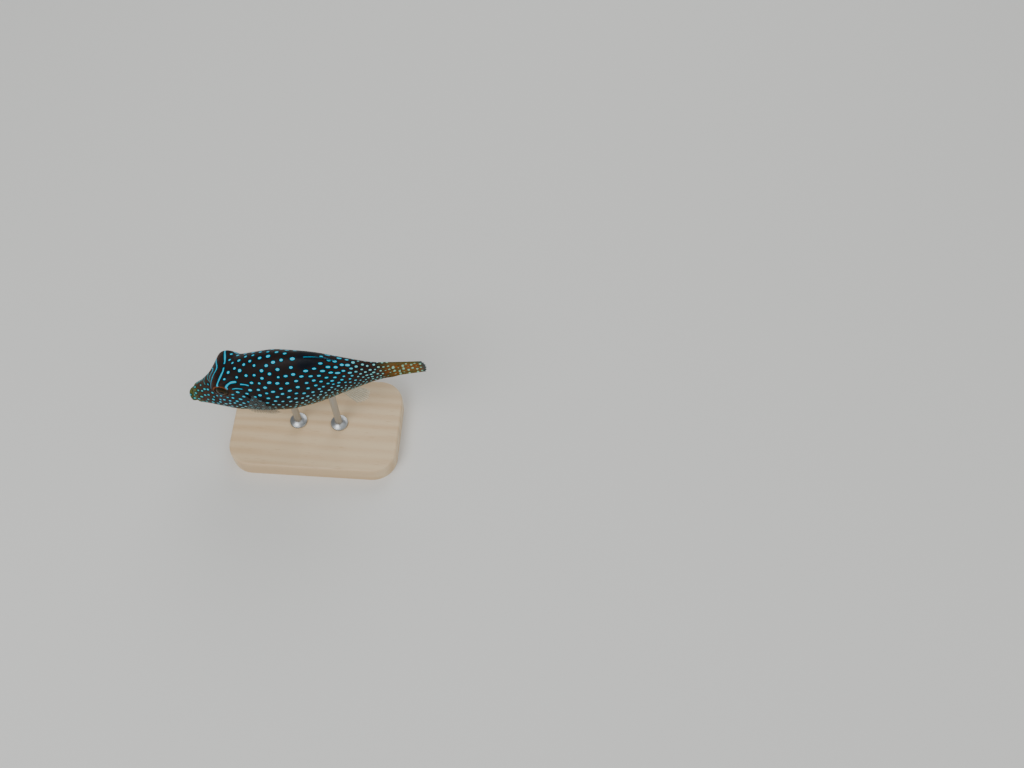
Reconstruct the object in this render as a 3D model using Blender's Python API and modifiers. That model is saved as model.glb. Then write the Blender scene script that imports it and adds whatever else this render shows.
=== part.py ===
"""Spotted sharpnose puffer (a small reef toby), life size, nose down on a plain display stand.

The fish is modelled straight in its own frame, in millimetres: +X runs from the mouth to the tail, +Y to
its right side and +Z to its back. Its rear half is then flexed a little, and the whole fish is tipped nose
down and lifted over the stand. The row frame has its origin under the middle of the stand's base, with the
head towards -X.
"""

import math

import bmesh
import bpy
from mathutils import Matrix, Vector

MM = 0.001
GAP = 0.3  # between nodes that touch

# The whole fish
TOTAL_LENGTH = 90.0
CAUDAL_BASE = 72.0
GILL_CUT = 29.7  # the head ends just behind the gill slit
TAIL_CUT = 61.5  # the peduncle starts behind the dorsal and anal fins
NOSE_DOWN = math.radians(15.2)
CENTRE_HEIGHT = 41.5  # of the body's middle above the floor
FLEX_START = 45.0
FLEX_SIDE = math.radians(4.0)  # turn of the tail tip to the fish's right
FLEX_DOWN = math.radians(5.8)

# Outlines of the body as (distance from the mouth, height or half width)
BACK_LINE = [(0, -2.6), (2.7, -0.4), (6.3, 1.8), (10.8, 5.5), (14.4, 8.5), (18, 10.6), (23.4, 12.0),
             (30.6, 13.8), (40.5, 14.7), (49.5, 13.8), (54, 12.7), (59.4, 10.3), (64.8, 7.8), (72, 5.3),
             (76, 5.0)]
BELLY_LINE = [(0, -7.9), (2.7, -8.8), (6.3, -9.4), (10.8, -10.3), (18, -12.0), (27, -14.1), (36, -15.3),
              (43.2, -14.9), (50.4, -13.2), (55.8, -11.0), (61.2, -8.9), (66.6, -6.9), (72, -5.2), (76, -4.9)]
HALF_WIDTH = [(0, 2.7), (2.7, 3.3), (6.3, 4.1), (11.7, 5.7), (18, 7.0), (22, 7.5), (28, 8.4), (36, 8.6),
              (45, 7.1), (54, 5.3), (63, 3.6), (72, 2.0), (76, 1.6)]
WIDEST_HEIGHT = [(0, -5.2), (6.3, -4.7), (12, -3.6), (18, -2.6), (30, -1.6), (45, -0.6), (60, 0.0), (76, 0.0)]
# Narrowing towards the back
CROWN_TAPER = [(0, 0.0), (4, 0.06), (8, 0.26), (12.8, 0.47), (16, 0.12), (22, 0.03), (76, 0.0)]
SQUARENESS = [(0, 1.0), (10, 0.98), (18, 0.80), (25, 0.94), (36, 1.0), (76, 1.0)]  # under 1 is boxier
SOFT_MIDDLE = 0.03  # keeps a boxy section smooth along its back, belly and sides

# Orbits, eyes and nostrils
EYE = Vector((19.4, 5.0, 6.5))
EYE_RADIUS = 3.1
EYE_UP = math.radians(3)
EYE_FORWARD = math.radians(6)
ORBIT_FACE = (7.15, 2.9, 5.4)  # half width of the head at the eyes, and the radii where it starts and stops
BROW = (16.8, 9.6)  # middle of the ridge over the eye, along the body and up
BROW_RISE = 3.9
BROW_SPREAD = (4.3, 3.3)
BROW_EDGE = (5, 3)  # how sharply it ends along the body and up
BROW_REAR = (6.2, 2.3)  # behind its middle: its longer spread and softer end
BROW_START = 3.8  # half width of the forehead where the ridge has its full rise
BROW_LIFT = 0.12  # how far it rises for each millimetre outwards
ORBIT_RIM = (2.7, 0.38)  # ring radius and thickness radius
NOSTRIL = Vector((11.8, 0, 4.3))
NOSTRIL_SIZE = (0.5, 0.25, 0.45)  # rim radius, hole radius, height
NOSTRIL_DEPTH = 0.5  # of the hole under the skin

# Mouth
MOUTH_HEIGHT = -5.2
MOUTH_SWEEP = 0.7  # how far the corners lie behind the middle
# Rings from inside the mouth out over the lips, as (distance, half width, half height)
LIP_RINGS = [(1.9, 1.7, 0.9), (0.8, 1.75, 0.95), (-0.1, 1.8, 0.8), (-0.5, 1.95, 0.95), (-0.7, 2.25, 1.3),
             (-0.55, 2.6, 1.7), (-0.05, 2.85, 2.0), (0.6, 2.85, 2.15), (1.3, 2.78, 2.35)]
FACE_START = 2.9  # where the rings of the body take over from those of the lips
BEAK_RINGS = [(-0.25, 1.05, 0.22), (0.0, 1.3, 0.3), (0.85, 1.35, 0.4)]  # distance, half width and height
BEAK_SEGMENTS = 12

# Gill opening
GILL_SLIT = (27.9, 2.3, 4.4, 0.6)  # distance, middle height, height and width
GILL_DEPTH = 0.8
GILL_LEAN = math.radians(-32)

# Pectoral fins, in the flank's own plane, swept down and a little forwards
PECTORAL_RAYS = 16
PECTORAL_ROOT = ((29.6, 3.9), (31.6, -0.3))  # distance and height of the first and the last ray's root
PECTORAL_TURN = (-126, -52)  # degrees of the first and last ray from the tail's way, minus being down
PECTORAL_LENGTH = 8.6
PECTORAL_SHORTER = (0.16, 0.20)  # share that the last ray and the first are shorter
PECTORAL_LIFT = (-1.0, 2.1, 0.8)  # off the skin: at the root, gained just past it, and towards the tips
PECTORAL_THICKNESS = (1.3, 0.8, 0.55)

# Fins in the midline. Roots are those of the first and last ray, ways are their degrees up and lean to one
# side, length is the longest ray and what the last and the first lack, thickness is (root, ray, membrane)
DORSAL_FIN = {"rays": 9, "roots": ((48.6, 0, 12.9), (54.4, 0, 11.5)), "ways": ((17, -0.12), (-6, -0.06)),
              "length": (10.4, 3.6, 1.8), "thickness": (1.5, 0.85, 0.55), "curl": (0.3, -0.5, -0.8)}
ANAL_FIN = {"rays": 9, "roots": ((54.4, 0, -10.1), (59.6, 0, -8.1)), "ways": ((-62, -0.1), (-22, -0.1)),
            "length": (11.2, 3.9, 1.4), "thickness": (1.4, 0.85, 0.55), "curl": (0.6, -1.0, 0.5)}
NOTCH = 0.965  # length of the membrane between two rays, as a share of theirs
ROOT_FADE = 3.2  # the thick root ends at 1 / this share of a ray

# Tail fin, folded: half height at the root and what it loses, half thickness likewise, and the rays' ridges
CAUDAL_RAYS = 11
CAUDAL_HEIGHT = (5.0, 2.0)
CAUDAL_THICKNESS = (1.85, 1.25)
CAUDAL_EDGE = 0.86  # how far it thins towards its upper and lower edge
CAUDAL_RIDGE = 0.16
CAUDAL_TIP = (0.05, 0.02)  # share that the outer rays and the gaps between rays are shorter

# Stand
BASE_SIZE = (62.0, 38.0, 7.0)
BASE_CORNER = 9.0
BASE_EDGE = 1.0
ROD_RADIUS = 1.25
ROD_FOOT = (3.2, 1.4)  # radius and height of the turned foot
ROD_SPARE = 3.0  # length over the belly line, which is cut away with the belly's shape
ROD_NECK = (1.75, 0.6, 0.77)  # its radius, its height over the foot, and the height of the foot's rim
ROD_PLACES = {"stand_rod_front": 34.0, "stand_rod_rear": 50.5}

SEGMENTS = 48


def curve_through(knots):
    """A smooth line through the knots that never overshoots them (a monotone cubic)."""
    xs = [k[0] for k in knots]
    ys = [k[1] for k in knots]
    slopes = [(ys[i + 1] - ys[i]) / (xs[i + 1] - xs[i]) for i in range(len(xs) - 1)]
    ends = [slopes[0]]
    for before, after in zip(slopes, slopes[1:]):
        ends.append(0.0 if before * after <= 0 else 2 * before * after / (before + after))
    ends.append(slopes[-1])

    def height(x):
        x = min(max(x, xs[0]), xs[-1])
        i = max(j for j in range(len(xs) - 1) if xs[j] <= x)
        step = xs[i + 1] - xs[i]
        t = (x - xs[i]) / step
        return (ys[i] * (1 + 2 * t) * (1 - t) ** 2 + ends[i] * step * t * (1 - t) ** 2
                + ys[i + 1] * t * t * (3 - 2 * t) - ends[i + 1] * step * t * t * (1 - t))

    return height


back, belly, half_width = map(curve_through, (BACK_LINE, BELLY_LINE, HALF_WIDTH))
widest, crown_taper, squareness = map(curve_through, (WIDEST_HEIGHT, CROWN_TAPER, SQUARENESS))


def flexed(point):
    """The point once the rear of the fish is curved: first sideways, then down, each along an arc."""
    x, y, z = point
    run = x - FLEX_START
    if run <= 0:
        return Vector(point)
    reach = TOTAL_LENGTH - FLEX_START
    side = FLEX_SIDE * run / reach
    arc = reach / FLEX_SIDE
    x, y = FLEX_START + (arc - y) * math.sin(side), arc - (arc - y) * math.cos(side)
    run = x - FLEX_START
    down = FLEX_DOWN * run / reach
    arc = reach / FLEX_DOWN
    return Vector((FLEX_START + (arc + z) * math.sin(down), y, (arc + z) * math.cos(down) - arc))


def boxed(value, power):
    """The value to a power, with its sign kept and smooth through 0."""
    return value * ((value * value + SOFT_MIDDLE) / (1 + SOFT_MIDDLE)) ** ((power - 1) / 2)


def skin_point(x, angle, swell=0.0):
    """A point of the straight body's surface. Angle 0 is the right side and 90 degrees the back."""
    c, s = math.cos(angle), math.sin(angle)
    side, rise = boxed(c, squareness(x)), boxed(s, squareness(x))
    middle = widest(x)
    reach = back(x) - middle if s > 0 else middle - belly(x)
    y = (half_width(x) + swell) * side * (1 - crown_taper(x) * max(0.0, s))
    z = middle + (reach + swell) * rise
    along, sharp_along = BROW_REAR if x > BROW[0] else (BROW_SPREAD[0], BROW_EDGE[0])
    past = abs((x - BROW[0]) / along) ** sharp_along + abs((z - BROW[1]) / BROW_SPREAD[1]) ** BROW_EDGE[1]
    mound = BROW_RISE * math.exp(-past)
    mound *= min(1.0, abs(y) / BROW_START) ** 1.5
    width = abs(y) + mound
    face, inner, outer = ORBIT_FACE
    far = min(max((math.hypot(x - EYE.x, z - EYE.z) - inner) / (outer - inner), 0.0), 1.0)
    flatness = (1 - far * far * (3 - 2 * far)) * min(1.0, width / face) ** 3
    width += (face + swell - width) * flatness
    return Vector((x, math.copysign(width, y), z + mound * BROW_LIFT))


def ring(x, swell=0.0):
    return [skin_point(x, 2 * math.pi * i / SEGMENTS, swell) for i in range(SEGMENTS)]


def loft(name, rings):
    """A closed mesh through rings of equal count, with a flat cap at each end."""
    mesh = bpy.data.meshes.new(name)
    bm = bmesh.new()
    loops = [[bm.verts.new(flexed(p) * MM) for p in points] for points in rings]
    for one, two in zip(loops, loops[1:]):
        for i in range(len(one)):
            j = (i + 1) % len(one)
            bm.faces.new((one[i], one[j], two[j], two[i]))
    bm.faces.new(loops[0])
    bm.faces.new(loops[-1])
    bmesh.ops.recalc_face_normals(bm, faces=bm.faces)
    bm.to_mesh(mesh)
    bm.free()
    obj = bpy.data.objects.new(name, mesh)
    fish_parts.objects.link(obj)
    return obj


def stations(start, end, step):
    count = max(2, round((end - start) / step) + 1)
    return [start + (end - start) * i / (count - 1) for i in range(count)]


def settle(obj):
    """Gives the object its evaluated mesh, with its modifiers applied."""
    graph = bpy.context.evaluated_depsgraph_get()
    mesh = bpy.data.meshes.new_from_object(obj.evaluated_get(graph))
    obj.modifiers.clear()
    obj.data = mesh


def keep_largest(obj):
    """Drops every closed surface of the mesh but the largest."""
    bm = bmesh.new()
    bm.from_mesh(obj.data)
    left = set(bm.verts)
    shells = []
    while left:
        shell, todo = set(), [left.pop()]
        while todo:
            vert = todo.pop()
            shell.add(vert)
            linked = {e.other_vert(vert) for e in vert.link_edges} & left
            left -= linked
            todo += linked
        shells.append(shell)
    shells.sort(key=len)
    bmesh.ops.delete(bm, geom=[v for shell in shells[:-1] for v in shell], context="VERTS")
    bm.to_mesh(obj.data)
    bm.free()


def combine(obj, others, operation, solver="EXACT"):
    """Joins other closed meshes to the object, or cuts them from it, and removes them."""
    pieces = bpy.data.collections.new("pieces")
    bpy.context.scene.collection.children.link(pieces)
    for other in others:
        for home in list(other.users_collection):
            home.objects.unlink(other)
        pieces.objects.link(other)
    modifier = obj.modifiers.new(operation.lower(), "BOOLEAN")
    modifier.operation = operation
    modifier.operand_type = "COLLECTION"
    modifier.collection = pieces
    modifier.solver = solver
    settle(obj)
    for other in others:
        bpy.data.objects.remove(other)
    bpy.data.collections.remove(pieces)
    keep_largest(obj)


def primitive(kind, centre, **sizes):
    """A primitive with its sizes in millimetres, linked and ready to be placed."""
    getattr(bpy.ops.mesh, f"primitive_{kind}_add")(**{
        k: v * MM if k in ("radius", "depth", "major_radius", "minor_radius", "size") else v
        for k, v in sizes.items()
    })
    obj = bpy.context.object
    obj.location = Vector(centre) * MM
    for home in list(obj.users_collection):
        home.objects.unlink(obj)
    fish_parts.objects.link(obj)
    return obj


def bake_place(obj):
    """Moves the object's place and turn into its mesh."""
    bpy.context.view_layer.update()
    obj.data.transform(obj.matrix_world)
    obj.matrix_world = Matrix.Identity(4)
    return obj


def on_side(vector, side):
    return Vector((vector[0], vector[1] * side, vector[2]))


def eye_axis(side):
    """The way that the eye looks: out to its side, a little up and forwards."""
    flat = math.cos(EYE_UP)
    return Vector((-flat * math.sin(EYE_FORWARD), side * flat * math.cos(EYE_FORWARD), math.sin(EYE_UP)))


def aimed(obj, direction):
    obj.rotation_mode = "QUATERNION"
    obj.rotation_quaternion = Vector(direction).to_track_quat("Z", "Y")
    return bake_place(obj)


def eyeball(name, side, swell=0.0):
    ball = primitive("uv_sphere", on_side(EYE, side), segments=28, ring_count=14, radius=EYE_RADIUS + swell)
    ball.name = name
    return aimed(ball, eye_axis(side))


def orbit_rim(side):
    ring_radius, thickness = ORBIT_RIM
    lift = math.sqrt((EYE_RADIUS + GAP) ** 2 - ring_radius ** 2)
    centre = on_side(EYE, side) + eye_axis(side) * lift
    rim = primitive("torus", centre, major_radius=ring_radius, minor_radius=thickness, major_segments=28,
                    minor_segments=8)
    return aimed(rim, eye_axis(side))


def outward(x, angle):
    """The surface's outward direction at a point of the skin."""
    step = 0.05
    along = skin_point(x + step, angle) - skin_point(x - step, angle)
    round_body = skin_point(x, angle + step) - skin_point(x, angle - step)
    return round_body.cross(along).normalized()


def angle_at(x, height, side):
    """The ring angle whose surface point has this height, on the right (1) or left (-1) side."""
    low, high = -math.pi / 2, math.pi / 2
    for _ in range(40):
        angle = (low + high) / 2
        low, high = (angle, high) if skin_point(x, angle).z < height else (low, angle)
    return angle if side > 0 else math.pi - angle


def nostril(side, radius, depth, lift):
    angle = angle_at(NOSTRIL.x, NOSTRIL.z, side)
    direction = outward(NOSTRIL.x, angle)
    centre = skin_point(NOSTRIL.x, angle) + direction * lift
    return aimed(primitive("cylinder", centre, vertices=12, radius=radius, depth=depth), direction)


def gill_slit(side):
    """A cutter for the upright slit in front of the pectoral fin."""
    x, middle, height, width = GILL_SLIT
    angle = angle_at(x, middle, side)
    slit = primitive("uv_sphere", skin_point(x, angle), segments=16, ring_count=8, radius=1.0)
    slit.scale = (width / 2, GILL_DEPTH, height / 2)
    slit.rotation_euler.y = GILL_LEAN
    return bake_place(slit)


def mouth_ring(x, half, tall):
    points = []
    for i in range(SEGMENTS):
        angle = 2 * math.pi * i / SEGMENTS
        sweep = MOUTH_SWEEP * math.cos(angle) ** 2
        points.append(Vector((x + sweep, half * math.cos(angle), MOUTH_HEIGHT + tall * math.sin(angle))))
    return points


def make_head():
    lips = [mouth_ring(*sizes) for sizes in LIP_RINGS]
    head = loft("head", lips + [ring(x) for x in stations(FACE_START, GILL_CUT - GAP / 2, 1.05)])
    nostril_rim, nostril_hole, nostril_height = NOSTRIL_SIZE
    added = [orbit_rim(side) for side in (1, -1)]
    added += [nostril(side, nostril_rim, 2 * nostril_height, 0.0) for side in (1, -1)]
    combine(head, added, "UNION")
    cut = [eyeball("socket", side, GAP) for side in (1, -1)]
    hole_length = 2 * (NOSTRIL_DEPTH + nostril_height)
    cut += [nostril(side, nostril_hole, hole_length, nostril_height) for side in (1, -1)]
    cut += [gill_slit(side) for side in (1, -1)]
    combine(head, cut, "DIFFERENCE")
    return head


def make_beak(name, side):
    """One of the two fused tooth plates that show between the lips. Side 1 is the upper one."""
    rings = []
    for x, half, tall in BEAK_RINGS:
        points = []
        for i in range(BEAK_SEGMENTS + 1):
            angle = math.pi * i / BEAK_SEGMENTS
            height = GAP / 2 + tall * math.sin(angle)
            points.append(Vector((x + MOUTH_SWEEP * math.cos(angle) ** 2, half * math.cos(angle),
                                  MOUTH_HEIGHT + side * height)))
        rings.append(points)
    return loft(name, rings)


def body_copy(start, end, swell):
    """A closed stretch of the body, swollen all round, to cut what grows from it."""
    return loft("body_copy", [ring(x, swell) for x in stations(start, end, 1.5)])


def ribbed_sheet(name, fan, thickness):
    """A membrane through columns of points. Every second column is a ray, a ridge on both faces.

    thickness is (root, ray, membrane). The membrane is split into triangles alike on both faces.
    """
    root_thickness, ray_thickness, membrane = thickness
    mesh = bpy.data.meshes.new(name)
    bm = bmesh.new()
    grid, weights = [], []
    for i, column in enumerate(fan):
        grid.append([bm.verts.new(flexed(point) * MM) for point in column])
        for j in range(len(column)):
            v = j / (len(column) - 1)
            thick = ray_thickness + (membrane - ray_thickness) * v * 0.6 if i % 2 == 0 else membrane
            weights.append(thick + (root_thickness - thick) * max(0.0, 1 - v * ROOT_FADE) ** 1.5)
    for one, two in zip(grid, grid[1:]):
        for j in range(len(one) - 1):
            bm.faces.new((one[j], one[j + 1], two[j + 1]))
            bm.faces.new((one[j], two[j + 1], two[j]))
    bm.to_mesh(mesh)
    bm.free()
    obj = bpy.data.objects.new(name, mesh)
    fish_parts.objects.link(obj)
    group = obj.vertex_groups.new(name="thickness")
    for index, weight in enumerate(weights):
        group.add([index], weight / root_thickness, "REPLACE")
    solid = obj.modifiers.new("solid", "SOLIDIFY")
    solid.thickness = root_thickness * MM
    solid.offset = 0.0
    solid.vertex_group = "thickness"
    settle(obj)
    bm = bmesh.new()
    bm.from_mesh(obj.data)
    bmesh.ops.triangulate(bm, faces=[f for f in bm.faces if len(f.verts) > 3])
    bmesh.ops.recalc_face_normals(bm, faces=bm.faces)
    bm.to_mesh(obj.data)
    bm.free()
    return obj


def way(degrees, side=0.0):
    """A direction towards the tail, turned up by some degrees and leaning to one side."""
    turn = math.radians(degrees)
    return Vector((math.cos(turn), side, math.sin(turn))).normalized()


def make_midline_fin(name, sizes, cut, rows=8):
    """A fan of rays in the midline, cut to the body between two distances."""
    first, last = (Vector(root) for root in sizes["roots"])
    first_way, last_way = (way(*turn) for turn in sizes["ways"])
    longest, last_loss, first_loss = sizes["length"]
    fan = []
    columns = 2 * sizes["rays"] - 1
    for i in range(columns):
        u = i / (columns - 1)
        length = longest - last_loss * u ** 1.6 - first_loss * (1 - u) ** 3
        reach = first_way.slerp(last_way, u) * length * (1.0 if i % 2 == 0 else NOTCH)
        fan.append([first.lerp(last, u) + reach * v + Vector(sizes["curl"]) * v * v
                    for v in (j / (rows - 1) for j in range(rows))])
    midline_fin = ribbed_sheet(name, fan, sizes["thickness"])
    combine(midline_fin, [body_copy(*cut, GAP)], "DIFFERENCE")
    return midline_fin


def flank_fan(side):
    """The columns of the pectoral fin, which fans out low along the flank and lifts off it to its tips."""
    columns, rows = 2 * PECTORAL_RAYS - 1, 9
    last_shorter, first_shorter = PECTORAL_SHORTER
    at_root, past_root, at_tips = PECTORAL_LIFT
    fan = []
    for i in range(columns):
        u = i / (columns - 1)
        start = Vector(PECTORAL_ROOT[0]).lerp(Vector(PECTORAL_ROOT[1]), u)
        turn = math.radians(PECTORAL_TURN[0] + (PECTORAL_TURN[1] - PECTORAL_TURN[0]) * u)
        reach = PECTORAL_LENGTH * (1 - last_shorter * u ** 2 - first_shorter * (1 - u) ** 4)
        reach *= 1.0 if i % 2 == 0 else NOTCH
        column = []
        for j in range(rows):
            v = j / (rows - 1)
            x = start.x + reach * v * math.cos(turn)
            angle = angle_at(x, start.y + reach * v * math.sin(turn), side)
            lift = at_root + past_root * min(1.0, v * 5) + at_tips * v * v
            column.append(skin_point(x, angle) + outward(x, angle) * lift)
        fan.append(column)
    return fan


def make_pectoral_fin(side):
    name = "fin_pectoral_" + ("right" if side > 0 else "left")
    pectoral = ribbed_sheet(name, flank_fan(side), PECTORAL_THICKNESS)
    combine(pectoral, [body_copy(20, 50, GAP)], "DIFFERENCE", "MANIFOLD")
    return pectoral


def make_caudal_fin():
    """The folded tail fin: its rays lie close, so it is a thick tapering blade with a ridge for each ray."""
    rows = 9
    columns = 2 * CAUDAL_RAYS - 1
    start, end = CAUDAL_BASE + GAP / 2, TOTAL_LENGTH
    outer_shorter, gap_shorter = CAUDAL_TIP
    blade = []
    for j in range(rows):
        v = j / (rows - 1)
        half = CAUDAL_HEIGHT[0] - CAUDAL_HEIGHT[1] * v ** 0.55
        thick = CAUDAL_THICKNESS[0] - CAUDAL_THICKNESS[1] * v ** 0.8
        points = []
        for way_round in (1, -1):
            for i in range(columns):
                u = (-1 + 2 * i / (columns - 1)) * way_round
                ridge = CAUDAL_RIDGE / 2 * (1 if i % 2 == 0 else -1)
                depth = thick * math.sqrt(max(0.0, 1 - CAUDAL_EDGE * u * u)) + ridge
                tip = 1.0 - outer_shorter * u * u * v - (0.0 if i % 2 == 0 else gap_shorter * v)
                points.append(Vector((start + (end - start) * v * tip, way_round * depth, half * u)))
        blade.append(points)
    return loft("fin_caudal", blade)


def make_base():
    length, width, height = BASE_SIZE
    base = primitive("cube", (0, 0, height / 2), size=1.0)
    base.name = "stand_base"
    base.scale = (length, width, height)
    bake_place(base)
    bm = bmesh.new()
    bm.from_mesh(base.data)
    upright = [e for e in bm.edges if abs(e.verts[0].co.z - e.verts[1].co.z) > 1e-5]
    bmesh.ops.bevel(bm, geom=upright, offset=BASE_CORNER * MM, segments=8, profile=0.5, affect="EDGES")
    rim = [e for e in bm.edges if all(v.co.z > (height - 0.01) * MM for v in e.verts)]
    bmesh.ops.bevel(bm, geom=rim, offset=BASE_EDGE * MM, segments=3, profile=0.5, affect="EDGES")
    bm.to_mesh(base.data)
    bm.free()
    return base


def fish_place():
    """The matrix that tips the straight fish nose down and lifts it over the stand."""
    middle = Matrix.Translation(Vector((-TOTAL_LENGTH / 2, 0, 0)) * MM)
    return Matrix.Translation((0, 0, CENTRE_HEIGHT * MM)) @ Matrix.Rotation(-NOSE_DOWN, 4, "Y") @ middle


def make_rod(name, x):
    """A turned rod with a wider foot, cut to the shape of the belly that it carries."""
    under = fish_place() @ (flexed(Vector((x, 0, belly(x)))) * MM)
    top = under.z / MM + ROD_SPARE
    floor = BASE_SIZE[2] + GAP
    foot_radius, foot_height = ROD_FOOT
    neck_radius, neck_height, rim_height = ROD_NECK
    profile = [(0, top), (ROD_RADIUS, top), (ROD_RADIUS, floor + foot_height + neck_height),
               (neck_radius, floor + foot_height), (foot_radius, floor + rim_height), (foot_radius, floor),
               (0, floor)]
    mesh = bpy.data.meshes.new(name)
    bm = bmesh.new()
    verts = [bm.verts.new(Vector((r, 0, z)) * MM) for r, z in profile]
    for one, two in zip(verts, verts[1:]):
        bm.edges.new((one, two))
    bm.to_mesh(mesh)
    bm.free()
    rod = bpy.data.objects.new(name, mesh)
    fish_parts.objects.link(rod)
    spin = rod.modifiers.new("turn", "SCREW")
    spin.steps = spin.render_steps = 24
    spin.use_merge_vertices = True
    spin.merge_threshold = 0.00001
    settle(rod)
    bm = bmesh.new()
    bm.from_mesh(rod.data)
    bmesh.ops.recalc_face_normals(bm, faces=bm.faces)
    bm.to_mesh(rod.data)
    bm.free()
    rod.location = (under.x, 0, 0)
    bake_place(rod)
    copy = body_copy(x - 10, x + 10, GAP)
    copy.data.transform(fish_place())
    combine(rod, [copy], "DIFFERENCE")
    return rod


def paint(obj, name, colour, roughness, metallic=0.0):
    material = bpy.data.materials.get(name) or bpy.data.materials.new(name)
    material.use_nodes = True
    shader = material.node_tree.nodes["Principled BSDF"]
    shader.inputs["Base Color"].default_value = (*colour, 1)
    shader.inputs["Roughness"].default_value = roughness
    shader.inputs["Metallic"].default_value = metallic
    obj.data.materials.clear()
    obj.data.materials.append(material)


for old in list(bpy.data.objects):
    bpy.data.objects.remove(old)
fish_parts = bpy.data.collections.new("sharpnose_puffer")
bpy.context.scene.collection.children.link(fish_parts)

flesh = [make_head(), loft("trunk", [ring(x) for x in stations(GILL_CUT + GAP / 2, TAIL_CUT - GAP / 2, 1.8)])]
peduncle = loft("tail_peduncle", [ring(x) for x in stations(TAIL_CUT + GAP / 2, CAUDAL_BASE - GAP / 2, 1.7)])
fins = [make_midline_fin("fin_dorsal", DORSAL_FIN, (42, 66)),
        make_midline_fin("fin_anal", ANAL_FIN, (46, 68)),
        make_pectoral_fin(1), make_pectoral_fin(-1)]
caudal = make_caudal_fin()
eyes = [eyeball("eye_right", 1), eyeball("eye_left", -1)]
beak = [make_beak("beak_upper", 1), make_beak("beak_lower", -1)]

for piece in flesh:
    paint(piece, "skin_dark_brown", (0.022, 0.013, 0.010), 0.5)
paint(peduncle, "skin_orange_brown", (0.20, 0.075, 0.018), 0.5)
for piece in fins:
    paint(piece, "fin_membrane", (0.10, 0.16, 0.20), 0.4)
paint(caudal, "fin_orange", (0.36, 0.12, 0.02), 0.45)
for piece in eyes:
    paint(piece, "eye", (0.03, 0.025, 0.012), 0.1)
for piece in beak:
    paint(piece, "beak", (0.62, 0.55, 0.40), 0.35)

fish = bpy.data.objects.new("fish", None)
fish_parts.objects.link(fish)
fish.matrix_world = fish_place()
for piece in flesh + [peduncle] + fins + [caudal] + eyes + beak:
    piece.parent = fish
    piece.data.shade_smooth()

stand = [make_base()] + [make_rod(name, x) for name, x in ROD_PLACES.items()]
paint(stand[0], "stand_wood", (0.55, 0.38, 0.22), 0.5)
for rod in stand[1:]:
    paint(rod, "stand_steel", (0.6, 0.6, 0.6), 0.3, 1.0)
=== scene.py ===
# Spotted sharpnose puffer, life size, nose down over a plain maple stand
import math

import bmesh
import bpy
import numpy as np
from mathutils import Matrix, Vector, kdtree


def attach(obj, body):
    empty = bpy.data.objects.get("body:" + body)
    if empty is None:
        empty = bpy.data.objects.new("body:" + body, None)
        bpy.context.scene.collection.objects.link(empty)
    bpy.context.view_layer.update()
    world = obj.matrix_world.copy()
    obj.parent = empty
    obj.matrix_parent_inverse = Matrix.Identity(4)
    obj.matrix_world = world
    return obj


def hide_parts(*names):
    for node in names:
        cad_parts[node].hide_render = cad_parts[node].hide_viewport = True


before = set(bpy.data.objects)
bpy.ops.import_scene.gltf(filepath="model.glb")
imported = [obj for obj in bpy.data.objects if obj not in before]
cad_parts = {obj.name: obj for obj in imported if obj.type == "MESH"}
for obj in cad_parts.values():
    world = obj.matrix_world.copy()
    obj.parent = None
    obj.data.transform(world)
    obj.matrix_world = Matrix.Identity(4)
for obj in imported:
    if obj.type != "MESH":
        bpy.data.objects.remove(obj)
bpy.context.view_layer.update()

mm = 0.001

# The fish is drawn straight in millimetres: x from the mouth to the tail, y to its right, z to its back
fish = {
    "length": 90.0,
    "noseDown": math.radians(15.2),
    "centreHeight": 41.5,
    "flexStart": 45.0,
    "flexSide": math.radians(4.0),
    "flexDown": math.radians(5.8),
    "backLine": [(0, -2.6), (2.7, -0.4), (6.3, 1.8), (10.8, 5.5), (14.4, 8.5), (18, 10.6), (23.4, 12.0),
                 (30.6, 13.8), (40.5, 14.7), (49.5, 13.8), (54, 12.7), (59.4, 10.3), (64.8, 7.8), (72, 5.15),
                 (76, 4.5)],
    "bellyLine": [(0, -7.9), (2.7, -8.8), (6.3, -9.4), (10.8, -10.3), (18, -12.0), (27, -14.1), (36, -15.3),
                  (43.2, -14.9), (50.4, -13.2), (55.8, -11.0), (61.2, -8.9), (66.6, -6.9), (72, -5.05),
                  (76, -4.4)],
    "halfWidth": [(0, 2.7), (2.7, 3.3), (6.3, 4.1), (11.7, 5.7), (18, 7.0), (22, 7.5), (28, 8.4), (36, 8.6),
                  (45, 7.1), (54, 5.3), (63, 3.6), (72, 2.0), (76, 1.6)],
    "widestHeight": [(0, -5.2), (6.3, -4.7), (12, -3.6), (18, -2.6), (30, -1.6), (45, -0.6), (60, 0.0),
                     (76, 0.0)],
    "crownTaper": [(0, 0.0), (4, 0.06), (8, 0.26), (12.8, 0.47), (16, 0.12), (22, 0.03), (76, 0.0)],
    "squareness": [(0, 1.0), (10, 0.98), (18, 0.80), (25, 0.94), (36, 1.0), (76, 1.0)],
    "softMiddle": 0.03,
    "brow": (16.8, 9.6), "browRise": 3.9, "browLift": 0.12,
    "browSpread": (4.3, 3.3), "browEdge": (5, 3), "browRear": (6.2, 2.3),  # reach, and how sharply it ends
    "browStart": 3.8, "browEase": 1.5,
    "cheek": (7.15, 2.9, 5.4),  # half width of the flat cheek at the eye, and the radii where it fades
}
eye = {
    "centre": (19.4, 5.0, 6.5), "radius": 3.1, "up": math.radians(3), "forward": math.radians(6),
    "bowlGap": 0.25, "lidInner": 2.25, "lidStep": 0.35, "lidCrest": 2.72, "lidHeight": 2.42, "lidRise": 0.33,
    "lidWidth": 0.3, "lidFade": 3.5, "rimTop": (0.3, 2.0, 0.45), "corneaRise": 0.1, "corneaRadius": 1.7,
}


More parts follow.
